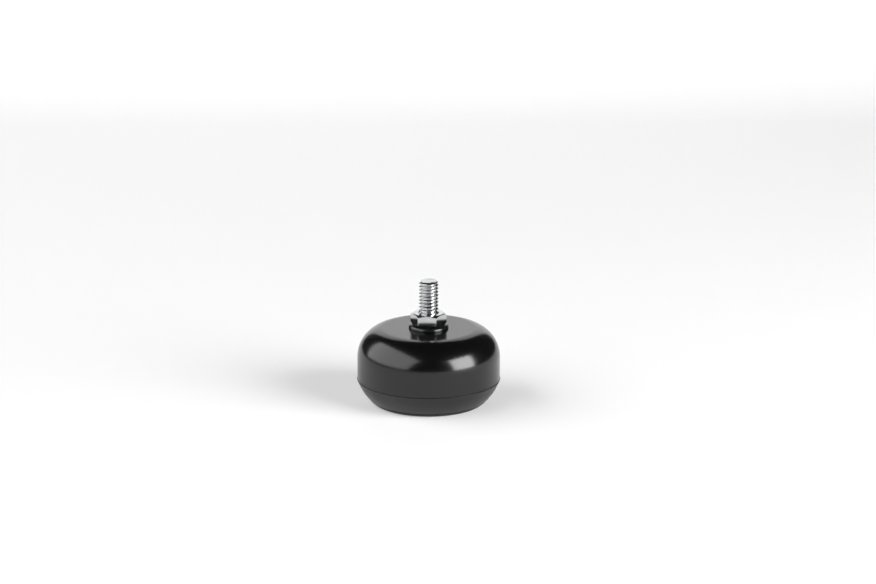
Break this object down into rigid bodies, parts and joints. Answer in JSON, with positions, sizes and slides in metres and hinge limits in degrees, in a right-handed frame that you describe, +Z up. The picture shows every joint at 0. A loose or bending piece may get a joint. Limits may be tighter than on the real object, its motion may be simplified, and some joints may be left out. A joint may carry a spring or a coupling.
{
  "type": "screw-in furniture leg",
  "caption": "Low round furniture foot with a flat-topped glossy shell over a satin base, a threaded stud rising from its centre, and a washer and thin hexagon nut at the stud's foot.",
  "frame": {"origin": "middle of the flat underside that stands on the floor", "axes": "+Z up along the stud, -Y towards the front flat of the nut"},
  "size_m": [0.058, 0.058, 0.0502],
  "materials": {
    "shell_plastic": "polished black",
    "base_plastic": "satin black",
    "zinc_bolt": "bright zinc plated",
    "washer_plastic": "polished black",
    "zinc_nut": "bright zinc plated"
  },
  "bodies": {
    "root": {"foot_shell": "shell_plastic", "foot_base": "base_plastic", "hex_bolt": "zinc_bolt", "washer": "washer_plastic", "lock_nut": "zinc_nut"}
  },
  "joints": []
}
